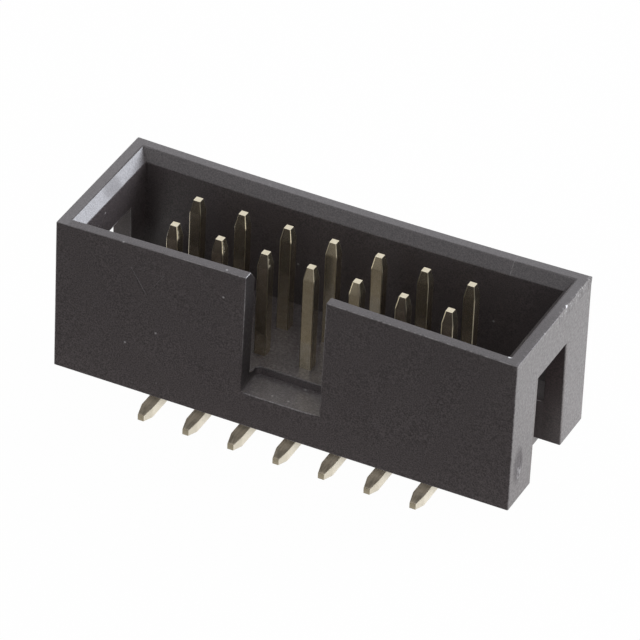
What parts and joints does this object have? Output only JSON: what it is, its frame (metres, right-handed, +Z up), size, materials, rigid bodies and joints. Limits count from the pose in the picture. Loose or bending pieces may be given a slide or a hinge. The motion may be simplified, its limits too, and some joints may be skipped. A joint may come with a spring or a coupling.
{
  "type": "shrouded pin header",
  "caption": "Surface-mount shrouded pin header: an open-topped keyed housing around rows of square pins, whose bent tails reach out under both long sides.",
  "frame": {"origin": "centre of the footprint, on the solder plane that the tails' undersides lie in", "axes": "+X along the rows of contacts, -Y towards the side with the key slot, +Z up, out of the open top"},
  "size_m": [0.0254, 0.0092, 0.0105],
  "materials": {
    "housing": "moulded black thermoplastic, fine satin grain",
    "contact": "thin gold flash over nickel, drawn square wire"
  },
  "bodies": {
    "root": {"housing": "housing", "pin_front_1": "contact", "pin_front_2": "contact", "pin_front_3": "contact", "pin_front_4": "contact", "pin_front_5": "contact", "pin_front_6": "contact", "pin_front_7": "contact", "pin_rear_1": "contact", "pin_rear_2": "contact", "pin_rear_3": "contact", "pin_rear_4": "contact", "pin_rear_5": "contact", "pin_rear_6": "contact", "pin_rear_7": "contact"}
  },
  "joints": []
}
